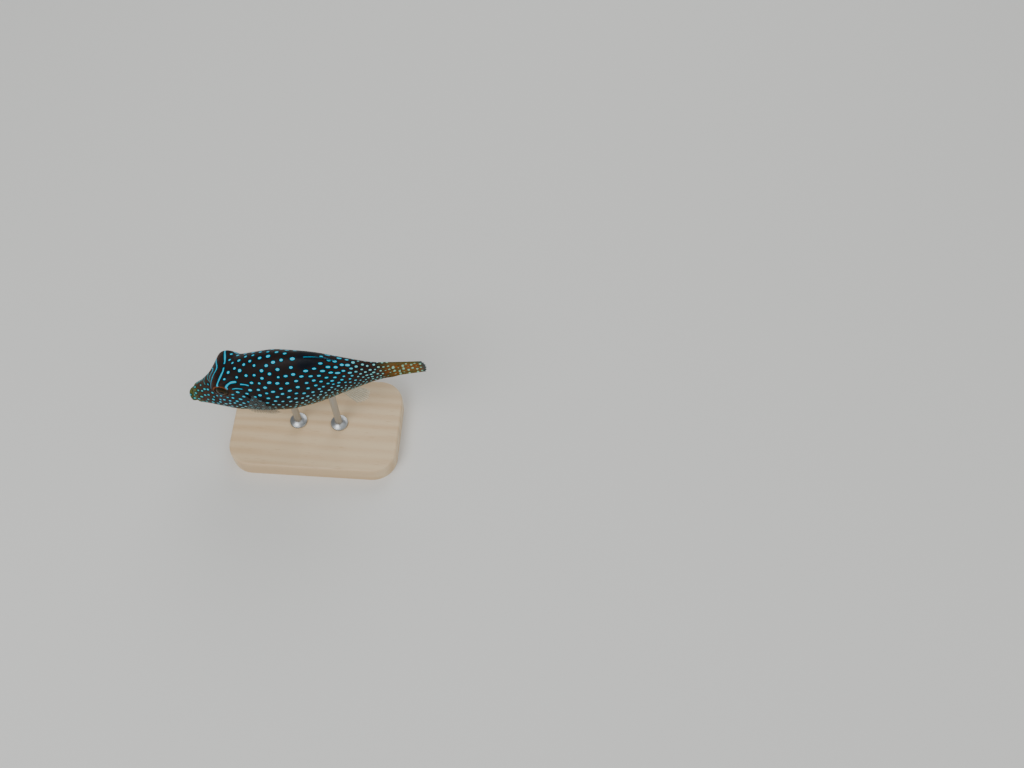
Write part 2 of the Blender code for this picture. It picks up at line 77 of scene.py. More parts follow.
def curveThrough(knots):
    # a monotone cubic, so that it never bulges past its knots
    xs, ys = (np.array(v, float) for v in zip(*knots))
    slopes = np.diff(ys) / np.diff(xs)
    inner = [0.0 if a * b <= 0 else 2 * a * b / (a + b) for a, b in zip(slopes, slopes[1:])]
    ends = np.array([slopes[0], *inner, slopes[-1]])

    def height(x):
        x = np.clip(x, xs[0], xs[-1])
        i = np.clip(np.searchsorted(xs, x, side="right") - 1, 0, len(xs) - 2)
        step = xs[i + 1] - xs[i]
        t = (x - xs[i]) / step
        return (ys[i] * (1 + 2 * t) * (1 - t) ** 2 + ends[i] * step * t * (1 - t) ** 2
                + ys[i + 1] * t * t * (3 - 2 * t) - ends[i + 1] * step * t * t * (1 - t))

    return height


backLine, bellyLine, halfWidth = (curveThrough(fish[k]) for k in ("backLine", "bellyLine", "halfWidth"))
widestHeight, crownTaper, squareness = (
    curveThrough(fish[k]) for k in ("widestHeight", "crownTaper", "squareness"))


def smooth(value, start, end):
    t = np.clip((value - start) / (end - start), 0.0, 1.0)
    return t * t * (3 - 2 * t)


def skinPoint(x, angle):
    # angle 0 is the right side, a quarter turn is the back
    x, angle = np.broadcast_arrays(np.asarray(x, float), np.asarray(angle, float))
    c, s, power, soft = np.cos(angle), np.sin(angle), squareness(x), fish["softMiddle"]
    side, rise = (v * ((v * v + soft) / (1 + soft)) ** ((power - 1) / 2) for v in (c, s))
    middle = widestHeight(x)
    y = halfWidth(x) * side * (1 - crownTaper(x) * np.maximum(0, s))
    z = middle + np.where(s > 0, backLine(x) - middle, middle - bellyLine(x)) * rise
    (along, up), (sharpAlong, sharpUp) = fish["browSpread"], fish["browEdge"]
    rear, sharpRear = fish["browRear"]
    ahead = x - fish["brow"][0]
    past = np.where(ahead > 0, np.abs(ahead / rear) ** sharpRear, np.abs(ahead / along) ** sharpAlong)
    past = past + np.abs((z - fish["brow"][1]) / up) ** sharpUp
    width = np.abs(y)
    mound = fish["browRise"] * np.exp(-past) * np.minimum(1, width / fish["browStart"]) ** fish["browEase"]
    width = width + mound
    cheek, inner, outer = fish["cheek"]
    far = np.hypot(x - eye["centre"][0], z - eye["centre"][2])
    width = width + (cheek - width) * (1 - smooth(far, inner, outer)) * np.minimum(1, width / cheek) ** 3
    return np.stack([x, np.copysign(width, y), z + mound * fish["browLift"]], axis=-1)


def outward(x, angle):
    step = 0.05
    along = skinPoint(x + step, angle) - skinPoint(x - step, angle)
    around = skinPoint(x, angle + step) - skinPoint(x, angle - step)
    across = np.cross(around, along)
    return across / np.linalg.norm(across, axis=-1, keepdims=True)


def angleAt(x, height, side):
    # the angle at which the skin has this height, on the right (1) or left (-1) side
    low, high = np.full(np.shape(x), -math.pi / 2), np.full(np.shape(x), math.pi / 2)
    for _ in range(30):
        angle = (low + high) / 2
        under = skinPoint(x, angle)[..., 2] < height
        low, high = np.where(under, angle, low), np.where(under, high, angle)
    return angle if side > 0 else math.pi - angle


def bend(x, off, angle):
    # curves the rear half towards one side
    start = fish["flexStart"]
    arc = (fish["length"] - start) / angle
    turn = np.maximum(0, x - start) / arc
    return (np.where(x > start, start + (arc - off) * np.sin(turn), x),
            np.where(x > start, arc - (arc - off) * np.cos(turn), off))


def placed(points):
    # straight fish to the finished place, in metres: it flexes to its right, then down, and turns nose down
    x, y, z = np.moveaxis(np.array(points, float), -1, 0)
    x, y = bend(x, y, fish["flexSide"])
    x, down = bend(x, -z, fish["flexDown"])
    x = x - fish["length"] / 2
    c, s = math.cos(fish["noseDown"]), math.sin(fish["noseDown"])
    return np.stack([c * x + s * down, y, s * x - c * down + fish["centreHeight"]], axis=-1) * mm


def eyePlace(side):
    # its centre, and the way it looks
    x, y, z = eye["centre"]
    flat, turn = math.cos(eye["up"]), eye["forward"]
    axis = (-flat * math.sin(turn), side * flat * math.cos(turn), math.sin(eye["up"]))
    return np.array((x, y * side, z)), np.array(axis)


def deselect():
    if bpy.context.object and bpy.context.object.mode != "OBJECT":
        bpy.ops.object.mode_set(mode="OBJECT")
    bpy.ops.object.select_all(action="DESELECT")


def named(name):
    piece = bpy.context.object
    piece.name = piece.data.name = name
    return piece


def getPoints(piece):
    points = np.empty(len(piece.data.vertices) * 3, np.float32)
    piece.data.vertices.foreach_get("co", points)
    return points.reshape(-1, 3)


def setPoints(piece, points):
    piece.data.vertices.foreach_set("co", np.asarray(points, np.float32).ravel())
    piece.data.update()


def setValues(piece, **values):
    for name, value in values.items():
        layer = piece.data.attributes.new(name, "FLOAT", "POINT")
        layer.data.foreach_set("value", np.asarray(value, np.float32).ravel())


def dress(piece, material, crease=None):
    # edges that turn by more than the crease, in degrees, stay sharp
    deselect()
    piece.data.materials.clear()
    piece.data.materials.append(material)
    piece.data.shade_smooth()
    if crease:
        bpy.context.view_layer.objects.active = piece
        piece.select_set(True)
        bpy.ops.object.shade_smooth_by_angle(angle=math.radians(crease))


def searchTree(points, indices):
    tree = kdtree.KDTree(len(indices))
    for index in indices:
        tree.insert(points[index], index)
    tree.balance()
    return tree


def colour(code):
    parts = [int(code[i:i + 2], 16) / 255 for i in (1, 3, 5)]
    return (*[c / 12.92 if c <= 0.04045 else ((c + 0.055) / 1.055) ** 2.4 for c in parts], 1.0)


def setInputs(node, inputs):
    for name, value in inputs.items():
        if isinstance(value, bpy.types.NodeSocket):
            node.id_data.links.new(value, node.inputs[name])
        else:
            node.inputs[name].default_value = value


def addNode(tree, kind, inputs, output=0, **settings):
    # adds a node with its settings and links, and gives one of its outputs
    node = tree.nodes.new(kind)
    for name, value in settings.items():
        setattr(node, name, value)
    setInputs(node, inputs)
    return node.outputs[output]


def newMaterial(name):
    material = bpy.data.materials.new(name)
    material.use_nodes = True
    return material, material.node_tree, material.node_tree.nodes["Principled BSDF"]


# Pattern sizes in millimetres, with the detail and roughness of each noise
grain = {"prickle": 0.32, "mottle": (2.6, 5.0, 0.6), "fine": (0.6, 3.0, 0.5), "fleck": (0.5, 4.0, 0.5),
         "stain": (0.7, 3.0, 0.5)}


def heldValues(tree, names, *noises):
    # what a piece holds at its points, its place, and noises over it
    held = {name: addNode(tree, "ShaderNodeAttribute", {}, "Fac", attribute_name=name) for name in names}
    held["place"] = addNode(tree, "ShaderNodeTexCoord", {}, "Object")
    for name in noises:
        size, detail, rough = grain[name]
        held[name] = addNode(tree, "ShaderNodeTexNoise", {
            "Vector": held["place"], "Scale": 1 / (size * mm), "Detail": detail, "Roughness": rough})
    return held


def paintLayers(tree, held, base, layers, painted):
    # each layer fades in its colour where its source runs from the first value to the second
    shade = painted[base] if base in painted else colour(base)
    for source, start, end, share, code in layers:
        over = painted[code] if code in painted else colour(code)
        fade = addNode(tree, "ShaderNodeMapRange", {
            "Value": held[source], "From Min": start, "From Max": end, "To Max": share},
            interpolation_type="SMOOTHSTEP")
        shade = addNode(tree, "ShaderNodeMix", {0: fade, 6: shade, 7: over}, 2, data_type="RGBA")
    return shade


# Skin: markings first, then the shape, then the finish
skin = {
    "around": 256, "headStep": 0.2, "bodyStep": 0.29, "headEnd": 32.0,
    "mouthHeight": -5.2, "mouthSweep": 0.7, "pocketRows": 4, "pocketDepth": 0.3, "pocketShare": 0.45,
    "lips": [(1.9, 1.7, 0.9), (0.8, 1.75, 0.95), (-0.1, 1.8, 0.8), (-0.5, 1.95, 0.95), (-0.7, 2.25, 1.3),
             (-0.55, 2.6, 1.7), (-0.05, 2.85, 2.0), (0.6, 2.85, 2.15), (1.3, 2.78, 2.35)],
    "lipRows": 4, "lipEnd": 2.9, "lipEase": 1.1,
    "endRows": 34, "endReach": 9.0, "endFull": 0.9, "endStart": 0.3,
    "patch": (52.4, 12.5), "patchSize": (3.6, 2.0),
    "nostril": (11.8, 4.3), "nostrilSize": (0.46, 0.22, 0.4), "nostrilDepth": 1.6,  # rim, hole, height
    "slit": (27.9, 2.3, 4.4, 0.55), "slitLean": math.radians(32), "slitDepth": 0.6,
    "slitBow": (0.06, 0.2), "slitLip": (0.16, 0.3, 0.45),
}
spots = {
    "seed": 7, "darts": 14000, "pack": 0.78,
    "rounds": 60, "reach": 1.3, "push": 0.16, "settle": (4, 0.8),  # how they push each other apart
    "stations": [0, 12, 20, 30, 46, 56, 66, 76],
    "levels": [0.0, 0.3, 0.6, 1.0],  # belly to back
    "spacing": [[2.1, 2.1, 2.1, 2.1], [2.1, 2.2, 2.1, 2.1], [2.0, 2.2, 2.5, 2.6], [1.8, 2.3, 2.9, 3.0],
                [1.7, 2.2, 3.0, 3.2], [1.5, 1.8, 2.5, 2.8], [1.45, 1.5, 1.75, 2.0], [1.55, 1.55, 1.6, 1.65]],
    "across": [[0.66, 0.66, 0.66, 0.66], [0.66, 0.66, 0.66, 0.64], [0.62, 0.66, 0.8, 0.82],
               [0.58, 0.7, 0.96, 0.95], [0.58, 0.7, 0.95, 0.96], [0.54, 0.62, 0.8, 0.86],
               [0.54, 0.56, 0.63, 0.72], [0.54, 0.54, 0.56, 0.58]],
    "sizeSpread": 0.09, "bodyStretch": 1.36, "stretchSpread": (0.88, 1.12),
    "snoutStretch": 1.65, "snoutLean": math.radians(14),
    "snoutZone": ((12, 20), (26, 34), (0.3, 0.5)),  # where it fades as a whole, below the eye, and upwards
    "dashStretch": (1.5, 2.2), "dashZone": ((46, 51), (64, 68), (0.66, 0.82)),
    "fromEye": 3.6, "onPatch": 0.08, "onSlit": 0.2, "forehead": (8.6, 21.6, 34), "end": 77.6, "search": 6,
    "tail": {"seed": 4, "from": 79.05, "to": 88.8, "apart": 1.75, "rowApart": 0.87, "across": 3, "half": 0.36,
             "longer": 1.3, "jitter": 0.1},
}
tail = {"start": 72.0, "end": 90.0, "half": (5.0, 2.0, 0.55), "rays": 11, "pleat": (0.42, 0.28), "bow": 0.25,
        "foldStart": (0.05, 0.35), "overlap": (0.5, 0.7), "tipCurve": 0.05, "sunkRoot": 0.3,
        "scallop": 0.012, "rows": 120}
lines = {
    "points": 90, "rounds": 50, "level": 92.5, "wander": 0.3, "swell": (0.14, 3.1), "taper": (8, 0.55),
    "clear": 1.85, "reach": (5, 33),
    # the blue lines of the left side as a width and (x, angle in degrees); the right side mirrors them
    "left": [
        (0.68, [(21.1, 95), (21.1, 100), (20.2, 107), (19.3, 113), (19.2, 118)]),
        (0.55, [(17.8, 90), (17.5, 95), (16.4, 102), (15.8, 109), (15.6, 116), (15.7, 123)]),
        (0.42, [(15.6, 90), (14.9, 97), (13.9, 106), (13.6, 115)]),
        (0.4, [(12.9, 90), (12.3, 98), (11.9, 108), (12.3, 118), (13.3, 131)]),
        (0.38, [(10.1, 90), (9.7, 98), (9.4, 110), (9.8, 122)]),
        (0.72, [(21.9, 137), (21.9, 131), (22.6, 127), (24.0, 127.5), (25.6, 130)]),
        (0.46, [(23.5, 142), (25.0, 144), (26.8, 146.5)]),
        (0.5, [(27.2, 137), (28.6, 139), (29.8, 141.5)]),
    ],
}


def linePoints():
    # points along all the lines, each with the half width there and the way across
    points, halves, sides = [], [], []
    order = np.arange(lines["points"])
    (swell, wave), (ease, tip) = lines["swell"], lines["taper"]
    for side, wander in ((1, lines["wander"]), (-1, 0.0)):
        for width, knots in lines["left"]:
            crosses = knots[0][1] == 90
            if crosses:  # level at the middle, where it meets its mirror image
                knots = [knots[0], (knots[0][0], lines["level"]), *knots[1:]]
            xs = [x + wander * math.sin(x * 2) * min(1, (angle - 90) / 20) for x, angle in knots]
            turns = [math.radians(angle) if side < 0 else math.pi - math.radians(angle) for x, angle in knots]
            t = np.linspace(0, len(knots) - 1, lines["points"])
            x, turn = (np.interp(t, np.arange(len(knots)), values) for values in (xs, turns))
            for _ in range(lines["rounds"]):  # rounds the corners of the line
                for v in (x, turn):
                    v[1:-1] = (v[:-2] + 2 * v[1:-1] + v[2:]) / 4
            fromEnd = order[::-1] if crosses else np.minimum(order, order[::-1])
            uneven = 1 + swell * np.sin(t * wave + width * 40)
            points.append(skinPoint(x, turn))
            halves.append(0.5 * width * uneven * np.minimum(1, fromEnd / ease + tip))
            across = np.cross(np.gradient(points[-1], axis=0), outward(x, turn))
            sides.append(across / np.linalg.norm(across, axis=1, keepdims=True))
    return np.concatenate(points), np.concatenate(halves), np.concatenate(sides)


def tableValue(name, x, level):
    columns = np.array([np.interp(x, spots["stations"], values) for values in zip(*spots[name])])
    place = np.interp(level, spots["levels"], np.arange(len(columns)))
    below = np.minimum(place.astype(int), len(columns) - 2)
    share, points = place - below, np.arange(len(x))
    return columns[below, points] * (1 - share) + columns[below + 1, points] * share


def placeSpots(points, level, free, weight):
    # seeded darts on the skin, which then push each other apart until they stand evenly
    rng = np.random.default_rng(spots["seed"])
    spacing = tableValue("spacing", points[:, 0], level)
    openPoints = np.flatnonzero(free)
    share = weight[openPoints] / weight[openPoints].sum()
    kept, gaps, chosen = np.zeros((0, 3)), np.zeros(0), []
    for index in rng.choice(openPoints, spots["darts"], replace=False, p=share):
        if (np.linalg.norm(kept - points[index], axis=1) > spots["pack"] * (gaps + spacing[index]) / 2).all():
            chosen.append(index)
            kept, gaps = np.vstack([kept, points[index]]), np.append(gaps, spacing[index])
    tree = searchTree(points, openPoints)
    chosen, place = np.array(chosen), points[chosen]
    every, pull = spots["settle"]
    for step in range(spots["rounds"]):
        apart = place[:, None] - place[None]
        far = np.linalg.norm(apart, axis=2) + 1e-9
        reach = spots["reach"] * (spacing[chosen][:, None] + spacing[chosen][None]) / 2
        push = np.maximum(0, reach - far) * (far > 1e-6)
        moved = place + spots["push"] * (apart * (push / far)[..., None]).sum(axis=1)
        chosen = np.array([tree.find(p)[1] for p in moved])
        # between settlings a spot only leans towards its grid point, so that it can creep between them
        place = points[chosen] if step % every == every - 1 else moved + (points[chosen] - moved) * pull
    return np.array(sorted(set(chosen)))


def tailHalf(reach):
    # half height of the folded tail fin
    root, loss, power = tail["half"]
    return root - loss * reach ** power


def tailFold(high, reach):
    # its rays lie in small pleats, on a slight bow, which both start inside the skin
    depth, flatter = tail["pleat"]
    pleats = np.cos((high + 1) / 2 * (tail["rays"] - 1) * math.pi) * (depth - flatter * reach)
    return (pleats + tail["bow"] * np.sin(2 * high)) * smooth(reach, *tail["foldStart"])


def tailDots(points):
    # staggered rows of small spots run on from the body, along the fin
    numbers = spots["tail"]
    rng = np.random.default_rng(numbers["seed"])
    centres = []
    for i, x in enumerate(np.arange(numbers["from"], numbers["to"], numbers["apart"] * numbers["rowApart"])):
        for k in range(-numbers["across"], numbers["across"] + 1):
            centres.append((x, (k + (i % 2) / 2) * numbers["apart"]))
    centres = np.array(centres) + rng.normal(scale=numbers["jitter"], size=(len(centres), 2))
    reach = (centres[:, 0] - tail["start"]) / (tail["end"] - tail["start"])
    centres = centres[np.abs(centres[:, 1]) < tailHalf(reach) - numbers["half"]]
    far = np.hypot((points[:, :1] - centres[:, 0]) / numbers["longer"], points[:, 2:] - centres[:, 1])
    return numbers["half"] - far.min(axis=1)


def spotShapes(x, high):
    # half width, stretch and lean of each spot
    rng = np.random.default_rng(spots["seed"] + 1)
    uneven = 1 + spots["sizeSpread"] * rng.normal(size=len(x)).clip(-2, 2)
    half = 0.5 * tableValue("across", x, high) * uneven
    front, rear, upper = spots["dashZone"]
    dashed = smooth(high, *upper) * smooth(x, *front) * (1 - smooth(x, *rear))
    whole, below, upwards = spots["snoutZone"]
    onSnout = np.maximum(1 - smooth(x, *whole), (1 - smooth(x, *below)) * (1 - smooth(high, *upwards)))
    stretch = spots["bodyStretch"] + (spots["snoutStretch"] - spots["bodyStretch"]) * onSnout
    stretch = stretch * rng.uniform(*spots["stretchSpread"], len(x))
    stretch = stretch + (rng.uniform(*spots["dashStretch"], len(x)) - stretch) * dashed
    return half, stretch, (spots["snoutLean"] * onSnout)[:, None]


def blueEdges(points, normals, along, level, chosen):
    # how far each point lies inside the nearest spot and the nearest line, in millimetres
    half, stretch, lean = spotShapes(points[chosen, 0], level[chosen])
    # the lean takes a spot's length down towards the tail
    centres, direction = points[chosen], along[chosen]
    down = np.cross(normals[chosen], direction)
    down *= -np.sign(down[:, 2:])
    direction = direction * np.cos(lean) + down * np.sin(lean)
    linePlaces, lineHalves, lineSides = linePoints()
    outside, block = 9.0, 1500
    edge, lineEdge, lineSide, lineHalf = (np.full(len(points), v) for v in (-outside, -outside, outside, 0.3))
    for start in range(0, len(points), block):
        part = slice(start, start + block)
        near = np.abs(centres[:, 0] - points[part, 0].mean()) < spots["search"] + np.ptp(points[part, 0])
        offset = points[part, None] - centres[None, near]
        run = np.einsum("ijk,jk->ij", offset, direction[near])
        across = np.maximum(0, (offset ** 2).sum(axis=2) - run ** 2)
        far = np.sqrt((run / (half[near] * stretch[near])) ** 2 + across / half[near] ** 2)
        edge[part] = (half[near] * (1 - far)).max(axis=1)
        if points[part, 0].max() > lines["reach"][0] and points[part, 0].min() < lines["reach"][1]:
            gap = np.linalg.norm(points[part, None] - linePlaces[None], axis=2)
            nearest = (lineHalves - gap).argmax(axis=1)
            lineEdge[part] = (lineHalves - gap).max(axis=1)
            lineHalf[part] = lineHalves[nearest]
            lineSide[part] = ((points[part] - linePlaces[nearest]) * lineSides[nearest]).sum(axis=1)
    return edge, lineEdge, lineSide, lineHalf


def evenTurns(x):
    # angles that part each quarter of the section here into equal lengths
    turns, count, fine = [], skin["around"] // 4, 91
    for quarter in range(4):
        angle = (quarter + np.linspace(0, 1, fine)) * math.pi / 2
        length = np.cumsum(np.linalg.norm(np.diff(skinPoint(x, angle), axis=0), axis=1))
        turns.append(np.interp(length[-1] * np.arange(count) / count, [0, *length], angle))
    return np.concatenate(turns)


def middleAndHalf(x):
    return (backLine(x) + bellyLine(x)) / 2, (backLine(x) - bellyLine(x)) / 2


def skinRings():
    turns = np.arange(skin["around"]) * 2 * math.pi / skin["around"]
    rings = []
    for x, half, tall in skin["lips"]:
        x = x + skin["mouthSweep"] * np.cos(turns) ** 2
        rings.append(np.stack([x, half * np.cos(turns), skin["mouthHeight"] + tall * np.sin(turns)], axis=-1))
    first, last = skin["lipEnd"], tail["start"]
    controls = rings + [skinPoint(x, evenTurns(x)) for x in (first, first + skin["lipEase"])]
    controls = [2 * controls[0] - controls[1]] + controls
    rows = []
    pole = np.array((skin["lips"][0][0] + skin["pocketDepth"], 0, skin["mouthHeight"]))
    for k in range(skin["pocketRows"]):
        rows.append(pole + (controls[1] - pole) * k / skin["pocketRows"])
    for k in range(1, len(controls) - 2):
        for step in range(skin["lipRows"]):
            t = step / skin["lipRows"]
            a, b, c, d = controls[k - 1:k + 3]
            rows.append(0.5 * (2 * b + (c - a) * t + (2 * a - 5 * b + 4 * c - d) * t ** 2
                               + (3 * b - a - 3 * c + d) * t ** 3))
    lipCount = len(rows)
    stations = np.concatenate([np.arange(first, skin["headEnd"], skin["headStep"]),
                               np.arange(skin["headEnd"], last, skin["bodyStep"]), [last]])
    angles = [evenTurns(x) for x in stations]
    rows += [skinPoint(x, angle) for x, angle in zip(stations, angles)]
    # the end thins to a wedge along both sides of the tail fin, whose height it takes
    ring, (ringMiddle, ringHalf) = rows[-1], middleAndHalf(last)
    for k in range(1, skin["endRows"] + 1):
        t = k / skin["endRows"]
        start, reach = float(smooth(t, 0, skin["endStart"])), t * skin["endReach"] / (tail["end"] - last)
        x = last + skin["endReach"] * t
        middle, half = middleAndHalf(x)
        half += (tailHalf(reach) + tail["overlap"][0] - tail["overlap"][1] * t - half) * start
        closing = np.array((1, (1 - t) ** skin["endFull"], half / ringHalf if t < 1 else 0))
        row = (ring - (last, 0, ringMiddle)) * closing + (x, 0, middle * (1 - start))
        row[:, 1] += tailFold((row[:, 2] / tailHalf(reach)).clip(-1, 1), reach)
        rows.append(row)
    angles = [turns] * lipCount + angles + [angles[-1]] * skin["endRows"]
    return np.array(rows), np.array(angles), lipCount


def shapeEyes(points):
    # a bowl under each eye, with a lid that rises round it
    near = np.full(points.shape[:2], 99.0)
    for side in (1, -1):
        centre, axis = eyePlace(side)
        offset = points - centre
        height = offset @ axis
        radial = offset - height[..., None] * axis
        r = np.linalg.norm(radial, axis=-1)
        here = (points[..., 1] * side > 1) & (r < eye["lidFade"] + 1) & (height > -1)
        near = np.where(here, np.minimum(near, r), near)
        bowl = np.sqrt(np.maximum(0, (eye["radius"] - eye["bowlGap"]) ** 2 - r ** 2))
        crest = np.exp(-((r - eye["lidCrest"]) / eye["lidWidth"]) ** 2)
        crest = eye["lidHeight"] - eye["lidRise"] + eye["lidRise"] * crest
        crest = crest + (height - crest) * smooth(r, eye["lidCrest"] + 0.05, eye["lidFade"])
        target = bowl + (crest - bowl) * smooth(r, eye["lidInner"], eye["lidInner"] + eye["lidStep"])
        moved = centre + radial + target[..., None] * axis
        points = np.where((here & (r < eye["lidFade"]))[..., None], moved, points)
    return points, near


def shapeNostrils(points):
    # a low tube on each side, with a hole in it
    hole = np.zeros(points.shape[:2])
    rim, inner, height = skin["nostrilSize"]
    for side in (1, -1):
        x, z = skin["nostril"]
        angle = angleAt(x, z, side)
        centre, direction = skinPoint(x, angle), outward(x, angle)
        offset = points - centre
        lift = offset @ direction
        r = np.linalg.norm(offset - lift[..., None] * direction, axis=-1)
        here = (np.abs(lift) < 1.5) & (r < 1.5)
        inHole = np.exp(-(r / inner) ** 4)
        amount = height * np.exp(-(r / rim) ** 4) - skin["nostrilDepth"] * height * inHole
        points = points + np.where(here, amount, 0)[..., None] * direction
        hole = np.maximum(hole, np.where(here, inHole, 0))
    return points, hole


def shapeSlits(points, normals):
    # a leaning slit on each side for the gill opening, with a raised lip before it
    x, z, height, width = skin["slit"]
    c, s = math.cos(skin["slitLean"]), math.sin(skin["slitLean"])
    (bow, shift), (rise, longer, wide) = skin["slitBow"], skin["slitLip"]
    slit = np.zeros(points.shape[:2])
    for side in (1, -1):
        centre = skinPoint(x, angleAt(x, z, side))
        offset = points - centre
        down = offset @ np.array((-s, 0, c))
        over = offset @ np.array((c, 0, s)) + bow * down ** 2 - shift
        here = (points[..., 1] * side > 0) & (np.abs(offset[..., 0]) < 4)
        shape = np.exp(-(down / (height / 2)) ** 6 - (over / (width / 2)) ** 2)
        lip = np.exp(-(down / (height / 2 + longer)) ** 6 - ((over + width) / wide) ** 2)
        amount = np.where(here, rise * lip - skin["slitDepth"] * shape, 0)
        points = points + amount[..., None] * normals
        slit = np.maximum(slit, np.where(here, shape, 0))
    return points, slit


def gridNormals(points):
    along = np.gradient(points, axis=0)
    around = np.roll(points, -1, axis=1) - np.roll(points, 1, axis=1)
    normals = np.cross(around, along)
    return [v / np.maximum(np.linalg.norm(v, axis=-1, keepdims=True), 1e-9) for v in (normals, along)]


def makeSkin(material):
    straight, turns, lipCount = skinRings()
    rowCount, around = straight.shape[:2]
    normals, along = gridNormals(straight)
    shaped, orbit = shapeEyes(straight)
    shaped, hole = shapeNostrils(shaped)
    shaped, slit = shapeSlits(shaped, normals)

    flat, even = shaped.reshape(-1, 3), straight.reshape(-1, 3)
    x, high, orbit, hole, slit = even[:, 0], even[:, 2], orbit.ravel(), hole.ravel(), slit.ravel()
    level = ((high - bellyLine(x)) / (backLine(x) - bellyLine(x))).clip(0, 1)
    inside = (np.arange(rowCount) < lipCount * skin["pocketShare"])[:, None].repeat(around, 1).ravel()
    (patchX, patchZ), (patchLong, patchHigh) = skin["patch"], skin["patchSize"]
    patch = np.exp(-(((flat[:, 0] - patchX) / patchLong) ** 4 + ((flat[:, 2] - patchZ) / patchHigh) ** 4))
    low, full, width = eye["rimTop"]
    overEye = smooth(flat[:, 2] - eye["centre"][2], low, full)
    orbitTop = overEye * np.exp(-((orbit - eye["lidCrest"]) / width) ** 2)
    linePlaces = linePoints()[0]
    lineTree = searchTree(linePlaces, range(len(linePlaces)))
    start, end, spread = spots["forehead"]
    forehead = (x > start) & (x < end) & (np.abs(np.degrees(turns.ravel()) - 90) < spread)
    free = np.array([lineTree.find(p)[2] > lines["clear"] for p in flat]) & ~forehead & ~inside
    free &= (orbit > spots["fromEye"]) & (patch < spots["onPatch"]) & (slit < spots["onSlit"])
    free &= (x < spots["end"]) & (np.arange(len(x)) > around * (skin["pocketRows"] + 3 * skin["lipRows"]))
    size = np.linalg.norm(np.gradient(straight, axis=0), axis=-1) * np.linalg.norm(
        straight - np.roll(straight, 1, axis=1), axis=-1)
    chosen = placeSpots(even, level, free, size.ravel() + 1e-6)
    print("spots on the skin:", len(chosen))
    edge, lineEdge, lineSide, lineHalf = blueEdges(
        even, normals.reshape(-1, 3), along.reshape(-1, 3), level, chosen)
    edge = np.maximum(edge, tailDots(even))

    deselect()
    bpy.ops.mesh.primitive_uv_sphere_add(segments=around, ring_count=rowCount - 1, radius=1)
    piece = named("skin")
    # each vertex of the sphere takes the grid point of its row and column
    co = getPoints(piece)
    row = np.rint((np.arcsin(co[:, 2].clip(-1, 1)) / math.pi + 0.5) * (rowCount - 1)).astype(int)
    step = np.rint(np.arctan2(co[:, 1], co[:, 0]) / (2 * math.pi) * around).astype(int) % around
    step[(row == 0) | (row == rowCount - 1)] = 0
    index = row * around + step
    setPoints(piece, placed(flat)[index])
    # slit holds the gill slits and nostril holes, which are painted near black as their shade
    values = {"along": x, "level": level, "spotEdge": edge, "lineEdge": lineEdge, "lineSide": lineSide,
              "lineHalf": lineHalf, "patch": patch, "orbit": orbit, "slit": np.maximum(slit, hole),
              "orbitTop": orbitTop, "pocket": inside.astype(float)}
    setValues(piece, **{name: value[index] for name, value in values.items()})
    piece.data.uv_layers[0].name = "OFBake"
    dress(piece, material)
    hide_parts("head", "trunk", "tail_peduncle")
    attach(piece, "root")
    return piece


def tailLayers(source):
    # the orange tail is mottled with olive, and olive along both margins
    return [("mottle", 0.44, 0.6, 0.75, "#5a5224"), (source, 0.3, 0.1, 0.7, "#55501f"),
            (source, 0.72, 0.95, 0.8, "#4f4b22")]


tailColours = {"ground": "#84501c", "dot": "#8cc7a8"}
skinLook = {
    "tail": (tailColours["ground"], tailLayers("level")),
    "snout": ("#35291a", [("mottle", 0.4, 0.62, 0.8, "#522c17")]),
    "ground": ("#141011", [
        ("levelWavy", 0.35, 0.85, 1, "#221a19"), ("levelWavy", 0.34, 0.08, 0.85, "#6a5a2e"),
        ("alongWavy", 23.0, 14.0, 1, "#331a12"), ("alongWavy", 14.0, 9.0, 1, "snout"),
        ("alongWavy", 7.0, 1.5, 1, "#5f6632"), ("tailRed", 62.0, 72.0, 0.6, "#3d2312"),
        ("tailStart", 70.5, 80.0, 1, "tail"), ("orbit", 4.4, 3.2, 0.6, "#4a2814"),
        ("patch", 0.0, 1.0, 0.9, "#05101c"), ("mottle", 0.35, 0.75, 0.3, "#000000")]),
    "spot": ("#00ccf2", [
        ("level", 0.58, 0.28, 1, "#8adce4"), ("along", 13.0, 5.0, 1, "#4fbd9c"),
        ("along", 16.0, 12.0, 0.6, "#2fb2c4"), ("along", 62.0, 70.0, 1, "#86d2d0"),
        ("along", 72.0, 77.0, 1, tailColours["dot"])]),
    "line": ("#00b6da", [("along", 16.5, 13.0, 1, "#2f949a")]),
    "blue": ("spot", [("lineOver", 0.0, 0.05, 1, "line"), ("fine", 0.4, 0.9, 0.25, "#0a6f92")]),
    "all": ("ground", [
        ("halo", -0.5, 0.0, 0.92, "#041622"), ("ragged", 0.01, 0.13, 1, "blue"),
        ("orbit", 3.15, 2.8, 0.9, "#33200f"), ("orbitTop", 0.2, 0.9, 0.8, "#86431a"),
        # the gill slits and nostril holes are painted near black: painted shade for the depth of the openings
        # the inside of the mouth is painted dark red-brown: painted shade in the mouth's recess
        ("slit", 0.0, 1.0, 1, "#0b0808"), ("pocket", 0.0, 1.0, 1, "#2a120e")]),
}


